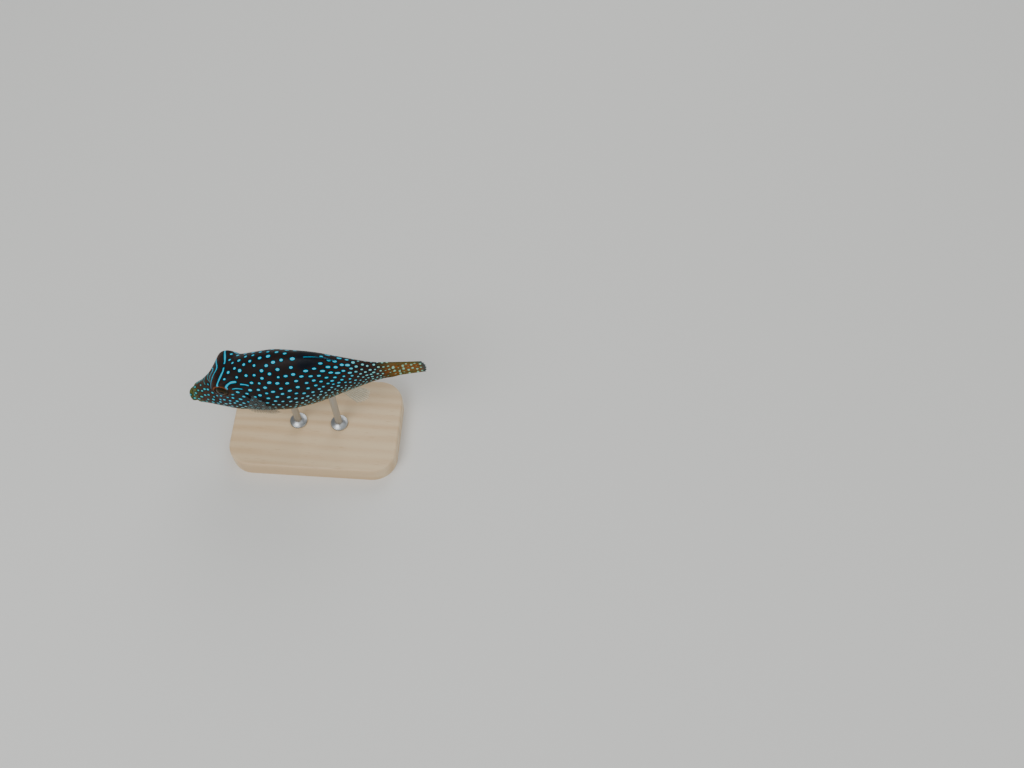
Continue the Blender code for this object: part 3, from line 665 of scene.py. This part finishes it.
def makeSkinMaterial():
    # puffer skin: scaleless and velvety, from thousands of tiny prickles in a damp satin surface
    material, tree, shader = newMaterial("prickledPufferSkin")
    held = heldValues(tree, ("along", "level", "spotEdge", "lineEdge", "lineSide", "lineHalf", "patch",
                             "orbit", "orbitTop", "slit", "pocket"), "mottle", "fine")
    held["past"] = addNode(tree, "ShaderNodeMapRange", {
        "Value": held["along"], "From Min": 74.0, "From Max": 80.0})
    # across a thin line the signed distance is the sharper one, and the plain distance closes its ends;
    # towards the tail the back reddens before the flank does, and the spots lose their dark rings
    for name, operation, *values in (
            ("wobble", "SUBTRACT", "mottle", 0.5), ("offLine", "ABSOLUTE", "lineSide"),
            ("inLine", "SUBTRACT", "lineHalf", "offLine"), ("lineEnds", "ADD", "lineEdge", 0.12),
            ("lineEdge", "MINIMUM", "inLine", "lineEnds"), ("either", "MAXIMUM", "spotEdge", "lineEdge"),
            ("alongWavy", "MULTIPLY_ADD", "wobble", 9.0, "along"),
            ("levelWavy", "MULTIPLY_ADD", "wobble", 0.16, "level"),
            ("tailStart", "MULTIPLY_ADD", "wobble", 8.0, "along"),
            ("ragged", "MULTIPLY_ADD", "fine", 0.14, "either"),
            ("lineOver", "MULTIPLY_ADD", "spotEdge", -1.0, "lineEdge"),
            ("tailRed", "MULTIPLY_ADD", "level", 8.0, "tailStart"),
            ("halo", "MULTIPLY_ADD", "past", -0.5, "ragged")):
        inputs = {i: held.get(value, value) for i, value in enumerate(values)}
        held[name] = addNode(tree, "ShaderNodeMath", inputs, operation=operation)
    painted = {}
    for name, (base, layers) in skinLook.items():
        painted[name] = paintLayers(tree, held, base, layers, painted)
    prickle = addNode(tree, "ShaderNodeTexVoronoi", {
        "Vector": held["place"], "Scale": 1 / (grain["prickle"] * mm)}, "Distance")
    height = addNode(tree, "ShaderNodeMath", {0: prickle, 1: -0.6, 2: held["fine"]}, operation="MULTIPLY_ADD")
    bump = addNode(tree, "ShaderNodeBump", {"Height": height, "Strength": 0.35, "Distance": 0.08 * mm})
    rough = addNode(tree, "ShaderNodeMapRange", {
        "Value": held["fine"], "From Min": 0.3, "From Max": 0.7, "To Min": 0.42, "To Max": 0.58})
    setInputs(shader, {"Base Color": painted["all"], "Normal": bump, "Roughness": rough,
                       "Specular IOR Level": 0.12})
    return material


skinPiece = makeSkin(makeSkinMaterial())
print("skin:", len(skinPiece.data.polygons), "faces")


# Fins: one thin membrane each, with rays that branch towards the edge
fins = {
    "dorsal": {"rays": 9, "roots": ((48.6, 0, 12.6), (54.4, 0, 11.2)), "ways": ((17, -0.12), (-6, -0.06)),
               "length": (10.4, 3.6, 1.8), "curl": (0.3, -0.5, -0.8), "scallop": 0.035, "rows": 44},
    "anal": {"rays": 9, "roots": ((54.4, 0, -9.8), (59.6, 0, -7.8)), "ways": ((-62, -0.1), (-22, -0.1)),
             "length": (11.2, 3.9, 1.4), "curl": (0.6, -1.0, 0.5), "scallop": 0.035, "rows": 44},
    "pectoral": {"rays": 16, "roots": ((29.6, 3.9), (31.6, -0.3)), "turn": (-126, -52), "length": 8.6,
                 "shorter": (0.16, 0.20), "lift": (-1.0, 2.1, 0.8), "ripple": (0.12, 11), "scallop": 0.02,
                 "rows": 44},
    "ripple": (0.16, 9.0),
    "membrane": 0.10, "ray": 0.34, "rayThins": 0.6, "rayHalf": 0.16, "root": 0.7, "rootEnd": 5,  # millimetres
    "fork": (0.18, 0.4, 0.6), "forkAgain": (0.07, 0.7, 0.3), "forkRoom": (0.8, 1.3),
    "between": 10,
}


def finWay(degrees, side):
    turn = math.radians(degrees)
    way = np.array((math.cos(turn), side, math.sin(turn)))
    return way / np.linalg.norm(way)


def column(values):
    return np.asarray(values)[..., None]


def midlineFan(numbers):
    # u runs from the first ray to the last, v from the root to the edge
    first, last = (np.array(r) for r in numbers["roots"])
    wayFirst, wayLast = (finWay(*w) for w in numbers["ways"])
    between = math.acos(wayFirst @ wayLast)
    longest, shrink, start = numbers["length"]
    ripple, waves = fins["ripple"]

    def place(u, v):
        way = column(np.sin((1 - u) * between)) * wayFirst + column(np.sin(u * between)) * wayLast
        reach = (longest - shrink * u ** 1.6 - start * (1 - u) ** 3) * v
        side = ripple * np.sin(u * waves) * v * v
        return (first + (last - first) * column(u) + way / math.sin(between) * column(reach)
                + np.array(numbers["curl"]) * column(v * v) + column(side) * (0, 1, 0))

    return place


def flankFan(side):
    numbers = fins["pectoral"]
    top, low = (np.array(r) for r in numbers["roots"])
    turnFirst, turnLast = numbers["turn"]
    lastShorter, firstShorter = numbers["shorter"]
    atRoot, pastRoot, atTips = numbers["lift"]
    ripple, waves = numbers["ripple"]

    def place(u, v):
        turn = np.radians(turnFirst + (turnLast - turnFirst) * u)
        reach = numbers["length"] * (1 - lastShorter * u ** 2 - firstShorter * (1 - u) ** 4) * v
        x = top[0] + (low[0] - top[0]) * u + reach * np.cos(turn)
        angle = angleAt(x, top[1] + (low[1] - top[1]) * u + reach * np.sin(turn), side)
        lift = atRoot + pastRoot * np.minimum(1, v * 5) + atTips * v * v + ripple * np.sin(u * waves) * v
        return skinPoint(x, angle) + outward(x, angle) * column(lift)

    return place


def tailFan():
    start, end = tail["start"], tail["end"]

    def place(u, v):
        high = 2 * u - 1
        x = start + (end - start) * v * (1 - tail["tipCurve"] * high * high * v)
        sunk = 1 - tail["sunkRoot"] * np.maximum(0, 1 - fins["rootEnd"] * v) ** 2
        return np.stack([x, tailFold(high, v), tailHalf(v) * high * sunk], axis=-1)

    return place


def rayShape(u, v, rays, place):
    # 1 on a ray's line and 0 on the membrane: each ray forks, then each fork again where it has room
    position, step = u * (rays - 1), 0.01
    off = np.abs(position - np.round(position))
    before, after = np.maximum(0, u - step), np.minimum(1, u + step)
    spread = np.linalg.norm(place(after, v) - place(before, v), axis=1) / (after - before) / (rays - 1)
    forks = fins["fork"], fins["forkAgain"]
    fork, again = (wide * np.maximum(0, (v - start) / run) for wide, start, run in forks)
    again = again * smooth(spread, *fins["forkRoom"])
    return np.exp(-(np.abs(np.abs(off - fork) - again) * spread / fins["rayHalf"]) ** 2)


def makeFin(name, nodeName, numbers, place, material):
    deselect()
    rays, across = numbers["rays"], (numbers["rays"] - 1) * fins["between"]
    bpy.ops.mesh.primitive_grid_add(x_subdivisions=across, y_subdivisions=numbers["rows"], size=1)
    piece = named(name)
    u, v = (getPoints(piece)[:, :2].T.astype(float) + 0.5).clip(0, 1)
    ray, root, membrane = rayShape(u, v, rays, place), fins["root"], fins["membrane"]
    thick = membrane + (fins["ray"] * (1 - fins["rayThins"] * v) - membrane) * ray
    thick = np.maximum(thick, membrane * 0.8)
    thick += (root - thick) * np.maximum(0, 1 - v * fins["rootEnd"]) ** 2
    edge = 1 - numbers["scallop"] * (1 - np.cos(2 * math.pi * u * (rays - 1))) * v ** 3
    straight = place(u, v * edge)
    setPoints(piece, placed(straight))
    setValues(piece, ray=ray, reach=v, across=u, dot=tailDots(straight))
    group = piece.vertex_groups.new(name="thickness")
    for i, weight in enumerate(np.minimum(1, thick / root)):
        group.add([i], float(weight), "REPLACE")
    solid = piece.modifiers.new("solid", "SOLIDIFY")
    solid.thickness = root * mm
    solid.offset = 0
    solid.vertex_group = "thickness"
    bpy.ops.object.modifier_apply(modifier="solid")
    bpy.ops.object.mode_set(mode="EDIT")
    bpy.ops.mesh.select_all(action="SELECT")
    bpy.ops.mesh.normals_make_consistent(inside=False)
    bpy.ops.object.mode_set(mode="OBJECT")
    while piece.data.uv_layers:
        piece.data.uv_layers.remove(piece.data.uv_layers[0])
    dress(piece, material)
    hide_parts(nodeName)
    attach(piece, "root")


def finLayers(ray, edge):
    return [("ray", 0.0, 1.0, 1, ray), ("reach", 0.86, 1.0, 0.85, edge)]


# A fin's membrane, its alpha between and on the rays, and its layers
tailRay, tailEdge = finLayers("#6b431a", "#27474d")
finLook = {
    "anal": ("#a9b8b0", (0.2, 0.34), finLayers("#9aa396", "#c3cfca")),
    "pectoral": ("#4c5352", (0.32, 0.42), finLayers("#5f6663", "#7f8985")),
    "dorsal": ("#16384c", (0.62, 0.92), finLayers("#0c1b26", "#3987a6")
               + [("across", 0.12, 0.03, 0.9, "#2aa9cf")]),  # a light blue streak on the folded leading ray
    "tail": (tailColours["ground"], (1.0, 1.0), [
        tailRay, *tailLayers("across"), tailEdge, ("dot", 0.0, 0.1, 1, tailColours["dot"])]),
}


def makeFinMaterial(name, kind):
    # fin: a clear wet membrane on fine bony rays, darker and denser where a ray runs
    material, tree, shader = newMaterial(name)
    membrane, (low, high), layers = finLook[kind]
    held = heldValues(tree, ("ray", "reach", "across", "dot"), "mottle")
    bump = addNode(tree, "ShaderNodeBump", {"Height": held["ray"], "Strength": 0.4, "Distance": 0.1 * mm})
    setInputs(shader, {"Base Color": paintLayers(tree, held, membrane, layers, {}), "Normal": bump,
                       "Roughness": 0.48, "Specular IOR Level": 0.12})
    if low < 1:
        root = addNode(tree, "ShaderNodeMapRange", {
            "Value": held["reach"], "From Max": 0.25, "To Min": 1.0, "To Max": 0.0})
        dense = addNode(tree, "ShaderNodeMath", {0: root, 1: held["ray"]}, operation="MAXIMUM")
        alpha = addNode(tree, "ShaderNodeMapRange", {"Value": dense, "To Min": low, "To Max": high})
        thin = addNode(tree, "ShaderNodeMapRange", {
            "Value": held["reach"], "From Min": 0.8, "From Max": 1.0, "To Min": 1.0, "To Max": 0.45})
        alpha = addNode(tree, "ShaderNodeMath", {0: alpha, 1: thin}, operation="MULTIPLY")
        setInputs(shader, {"Alpha": alpha})
    return material


analFin = makeFinMaterial("clearFinMembrane", "anal")
pectoralFin = makeFinMaterial("smokyFinMembrane", "pectoral")
dorsalFin = makeFinMaterial("blueFinMembrane", "dorsal")
tailFin = makeFinMaterial("orangeTailFin", "tail")
for name, nodeName, kind, fan, material in (
        ("dorsalFin", "fin_dorsal", "dorsal", midlineFan(fins["dorsal"]), dorsalFin),
        ("analFin", "fin_anal", "anal", midlineFan(fins["anal"]), analFin),
        ("pectoralFinRight", "fin_pectoral_right", "pectoral", flankFan(1), pectoralFin),
        ("pectoralFinLeft", "fin_pectoral_left", "pectoral", flankFan(-1), pectoralFin)):
    makeFin(name, nodeName, fins[kind], fan, material)
makeFin("tailFin", "fin_caudal", tail, tailFan(), tailFin)
print("fins made")


# Eyes: a domed cornea over a dark iris, with colours by the distance from the pupil's middle in millimetres
eyeLook = {
    "rings": [(0.0, "#010303"), (1.15, "#010303"), (1.19, "#5c3f1b"), (1.35, "#2a2210"), (2.1, "#1c1e12"),
              (2.6, "#2a1a0e")],
    "shift": 0.35, "span": 3.0,
}


def makeEye(name, nodeName, side, material):
    centre, axis = eyePlace(side)
    turn = np.array(Vector(axis).to_track_quat("Z", "Y").to_matrix())
    deselect()
    bpy.ops.mesh.primitive_uv_sphere_add(segments=64, ring_count=40, radius=eye["radius"])
    piece = named(name)
    co = getPoints(piece).astype(float)
    r, front = np.hypot(co[:, 0], co[:, 1]), co[:, 2] > 0
    co[:, 2] += front * eye["corneaRise"] * np.exp(-(r / eye["corneaRadius"]) ** 4)
    setPoints(piece, placed(co @ turn.T + centre))
    setValues(piece, fromPupil=np.where(front, r, 9))
    dress(piece, material)
    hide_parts(nodeName)
    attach(piece, "root")


def makeEyeMaterial():
    # eye: cast clear dome over a painted iris, so it is the glossiest thing on the fish
    material, tree, shader = newMaterial("domedGlossEye")
    held, span = heldValues(tree, ["fromPupil"], "fleck"), eyeLook["span"]
    ragged = addNode(tree, "ShaderNodeMath", {0: held["fleck"], 1: eyeLook["shift"], 2: held["fromPupil"]},
                     operation="MULTIPLY_ADD")
    scaled = addNode(tree, "ShaderNodeMapRange", {
        "Value": ragged, "From Min": 0.17, "From Max": 0.17 + span})
    rings = addNode(tree, "ShaderNodeValToRGB", {"Fac": scaled}, "Color")
    stops = rings.node.color_ramp.elements
    while len(stops) < len(eyeLook["rings"]):
        stops.new(0.5)
    for stop, (distance, code) in zip(stops, eyeLook["rings"]):
        stop.position = distance / span
        stop.color = colour(code)
    setInputs(shader, {"Base Color": rings, "Roughness": 0.3, "Specular IOR Level": 0.12,
                       "Coat Weight": 0.08, "Coat Roughness": 0.05})
    return material


glossEye = makeEyeMaterial()
makeEye("eyeRight", "eye_right", 1, glossEye)
makeEye("eyeLeft", "eye_left", -1, glossEye)
print("eyes made")


# Beak: two fused tooth plates between the lips, each with a seam in its middle
beak = {"width": 1.35, "depth": 1.2, "tall": 0.42, "front": -0.28, "gap": 0.13, "sweep": 0.9, "bulge": 0.8,
        "seamDepth": 0.04, "seamWidth": 0.08}


def makeBeak(name, nodeName, side, material):
    deselect()
    bpy.ops.mesh.primitive_uv_sphere_add(segments=48, ring_count=24, radius=1)
    piece = named(name)
    x, y, z = getPoints(piece).astype(float).T
    wide = y * beak["width"]
    front = beak["front"] + beak["seamDepth"] * np.exp(-(wide / beak["seamWidth"]) ** 2)
    sweep = skin["mouthSweep"] * np.minimum(1, np.abs(y)) ** 2 * beak["sweep"]
    height = beak["gap"] + beak["tall"] * (1 - (1 - z) / 2) ** beak["bulge"]
    x = front + sweep + beak["depth"] * (x + 1) / 2
    setPoints(piece, placed(np.stack([x, wide, skin["mouthHeight"] + side * height], axis=-1)))
    setValues(piece, seam=np.abs(wide))
    if side < 0:
        piece.data.flip_normals()
    dress(piece, material)
    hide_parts(nodeName)
    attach(piece, "root")


def makeBeakMaterial():
    # beak: dense enamel, ivory with a faint brown stain that varies at random
    material, tree, shader = newMaterial("ivoryEnamel")
    held = heldValues(tree, ["seam"], "stain")
    ivory = addNode(tree, "ShaderNodeMix", {0: held["stain"], 6: colour("#efe4c8"), 7: colour("#c9ab7a")}, 2,
                    data_type="RGBA")
    line = addNode(tree, "ShaderNodeMapRange", {"Value": held["seam"], "From Min": 0.07, "From Max": 0.02})
    shade = addNode(tree, "ShaderNodeMix", {0: line, 6: ivory, 7: colour("#6b5334")}, 2, data_type="RGBA")
    setInputs(shader, {"Base Color": shade, "Roughness": 0.3})
    return material


ivoryEnamel = makeBeakMaterial()
makeBeak("beakUpper", "beak_upper", 1, ivoryEnamel)
makeBeak("beakLower", "beak_lower", -1, ivoryEnamel)
print("beak made")


# Stand: an oiled maple block and two turned steel rods
stand = {
    "size": (62.0, 38.0, 7.0), "corner": 9.0, "edge": 1.0,
    "rods": {"Front": 34.0, "Rear": 50.5}, "intoBelly": 0.9, "rodChamfer": 0.2,
    # radius and height over the block, up the turned foot to the rod
    "foot": [(3.05, 0.0), (3.2, 0.15), (3.2, 0.7), (3.08, 0.868), (2.3, 1.12), (1.8, 1.4), (1.41, 1.7),
             (1.25, 2.1)],
}


def selectEdges(piece, test):
    work = bmesh.from_edit_mesh(piece.data)
    for edge in work.edges:
        edge.select = test(*[v.co for v in edge.verts])
    work.select_flush_mode()
    bmesh.update_edit_mesh(piece.data)


def makeBase(material):
    deselect()
    length, width, height = stand["size"]
    bpy.ops.mesh.primitive_cube_add(size=1)
    piece = named("standBase")
    bpy.ops.object.mode_set(mode="EDIT")
    bpy.ops.mesh.select_mode(type="EDGE")
    bpy.ops.mesh.select_all(action="SELECT")
    bpy.ops.transform.resize(value=(length * mm, width * mm, height * mm), center_override=(0, 0, 0))
    bpy.ops.transform.translate(value=(0, 0, height * mm / 2))
    selectEdges(piece, lambda a, b: abs(a.z - b.z) > 1e-5)
    bpy.ops.mesh.bevel(offset=stand["corner"] * mm, segments=24, affect="EDGES")
    selectEdges(piece, lambda a, b: min(a.z, b.z) > (height - 0.01) * mm)
    bpy.ops.mesh.bevel(offset=stand["edge"] * mm, segments=6, affect="EDGES")
    dress(piece, material, 35)
    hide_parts("stand_base")
    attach(piece, "root")


def makeRod(name, nodeName, x, material):
    under = placed(np.array((x, 0.0, float(bellyLine(x)))))
    top, floor, chamfer = under[2] / mm + stand["intoBelly"], stand["size"][2], stand["rodChamfer"]
    profile = [(wide, floor + high) for wide, high in stand["foot"]]
    radius = profile[-1][0]
    profile += [(radius, top - chamfer), (radius - chamfer, top)]
    deselect()
    bpy.ops.mesh.primitive_circle_add(vertices=72, radius=profile[0][0] * mm, fill_type="NGON",
                                      location=(under[0], 0, floor * mm))
    piece = named(name)
    bpy.ops.object.transform_apply(location=True, rotation=True, scale=True)
    bpy.ops.object.mode_set(mode="EDIT")
    bpy.ops.mesh.select_all(action="SELECT")
    for (wide, low), (newWide, high) in zip(profile, profile[1:]):
        bpy.ops.mesh.extrude_region_move(TRANSFORM_OT_translate={"value": (0, 0, (high - low) * mm)})
        bpy.ops.transform.resize(value=(newWide / wide, newWide / wide, 1),
                                 center_override=(under[0], 0, high * mm))
    bpy.ops.mesh.select_all(action="SELECT")
    bpy.ops.mesh.normals_make_consistent(inside=False)
    dress(piece, material, 30)
    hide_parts(nodeName)
    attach(piece, "root")


maple = {"pale": "#dcbf94", "band": "#c9a271", "drift": "#e6cfaa", "pore": "#a87f50",
         "bandWidth": 2.2, "driftSize": 9, "poreSize": 0.35}  # millimetres
steel = {"colour": "#b3b6b8", "markWidth": 0.12}


def makeMaple():
    # oiled maple: pale and close grained, with soft growth bands along its length and a low satin
    material, tree, shader = newMaterial("oiledMaple")
    place = addNode(tree, "ShaderNodeTexCoord", {}, "Object")
    board = addNode(tree, "ShaderNodeMapping", {
        "Vector": place, "Scale": (0.09, 1.0, 1.0), "Rotation": (0.25, 0, 0.05)})
    drift = addNode(tree, "ShaderNodeTexNoise", {
        "Vector": board, "Scale": 1 / (maple["driftSize"] * mm), "Detail": 3.0})
    bands = addNode(tree, "ShaderNodeTexWave", {
        "Vector": board, "Scale": 0.5 / (maple["bandWidth"] * mm) / 3.14, "Distortion": 5.0, "Detail": 3.0,
        "Detail Scale": 1.6}, "Fac", wave_type="BANDS", bands_direction="Y")
    pores = addNode(tree, "ShaderNodeTexNoise", {
        "Vector": board, "Scale": 1 / (maple["poreSize"] * mm), "Detail": 2.0})
    flecks = addNode(tree, "ShaderNodeMapRange", {
        "Value": pores, "From Min": 0.62, "From Max": 0.75, "To Max": 0.35})
    wood = colour(maple["pale"])
    for share, name in ((bands, "band"), (drift, "drift"), (flecks, "pore")):
        over = colour(maple[name])
        wood = addNode(tree, "ShaderNodeMix", {0: share, 6: wood, 7: over}, 2, data_type="RGBA")
    rough = addNode(tree, "ShaderNodeMapRange", {"Value": bands, "To Min": 0.42, "To Max": 0.55})
    bump = addNode(tree, "ShaderNodeBump", {"Height": pores, "Strength": 0.12, "Distance": 0.1 * mm})
    setInputs(shader, {"Base Color": wood, "Roughness": rough, "Normal": bump, "Coat Weight": 0.15,
                       "Coat Roughness": 0.3})
    return material


def makeSteel():
    # brushed stainless steel: fine turning marks ring the rod and stretch its highlights
    material, tree, shader = newMaterial("brushedStainless")
    place = addNode(tree, "ShaderNodeTexCoord", {}, "Object")
    rings = addNode(tree, "ShaderNodeMapping", {"Vector": place, "Scale": (0.05, 0.05, 1.0)})
    marks = addNode(tree, "ShaderNodeTexNoise", {
        "Vector": rings, "Scale": 1 / (steel["markWidth"] * mm), "Detail": 3.0})
    rough = addNode(tree, "ShaderNodeMapRange", {
        "Value": marks, "From Min": 0.3, "From Max": 0.7, "To Min": 0.32, "To Max": 0.48})
    bump = addNode(tree, "ShaderNodeBump", {"Height": marks, "Strength": 0.12, "Distance": 0.03 * mm})
    setInputs(shader, {"Base Color": colour(steel["colour"]), "Metallic": 1.0, "Roughness": rough,
                       "Normal": bump})
    return material


makeBase(makeMaple())
brushedSteel = makeSteel()
for end, x in stand["rods"].items():
    makeRod("standRod" + end, "stand_rod_" + end.lower(), x, brushedSteel)
print("stand made")


# Studio: pale floor, soft lights, and the camera at the photograph's angle
studio = {
    "floorColour": "#e6e6e2", "floorSize": 6.0,
    "lights": {"key": ((-0.30, -0.45, 0.75), 0.5, 5.0), "fill": ((0.55, -0.25, 0.45), 0.8, 1.6),
               "rim": ((0.1, 0.6, 0.5), 0.5, 1.8)},  # place, size and power
    "world": "#eef1f4", "worldStrength": 0.3,
    "right": (0.9979, 0.0655, 0.0), "toward": (0.0317, -0.4825, 0.8753),
    "distance": 394.1, "offset": (72.87, -2.47), "lens": 40.0,
}


def addToScene(name, data):
    thing = bpy.data.objects.new(name, data)
    bpy.context.scene.collection.objects.link(thing)
    return thing


def makeStudio():
    deselect()
    bpy.ops.mesh.primitive_plane_add(size=studio["floorSize"])
    floor = named("floor")
    material, tree, shader = newMaterial("mattPaper")
    setInputs(shader, {"Base Color": colour(studio["floorColour"]), "Roughness": 0.8})
    dress(floor, material)
    target = Vector((0, 0, fish["centreHeight"] * mm))
    for name, (place, size, power) in studio["lights"].items():
        light = addToScene(name + "Light", bpy.data.lights.new(name + "Light", "AREA"))
        light.data.size = size
        light.data.energy = power
        light.location = place
        light.rotation_euler = (target - light.location).to_track_quat("-Z", "Y").to_euler()
    world = bpy.data.worlds.new("studioWorld")
    world.use_nodes = True
    setInputs(world.node_tree.nodes["Background"], {
        "Color": colour(studio["world"]), "Strength": studio["worldStrength"]})
    bpy.context.scene.world = world

    right, toward = Vector(studio["right"]), Vector(studio["toward"])
    up = toward.cross(right).normalized()
    camera = addToScene("camera", bpy.data.cameras.new("camera"))
    camera.data.lens = studio["lens"]
    camera.data.sensor_width = 36.0
    camera.data.clip_start = 0.01
    along, above = studio["offset"]
    place = target + (right * along + up * above + toward * studio["distance"]) * mm
    camera.matrix_world = Matrix.Translation(place) @ Matrix((right, up, toward)).transposed().to_4x4()
    bpy.context.scene.camera = camera


makeStudio()
print("studio made")
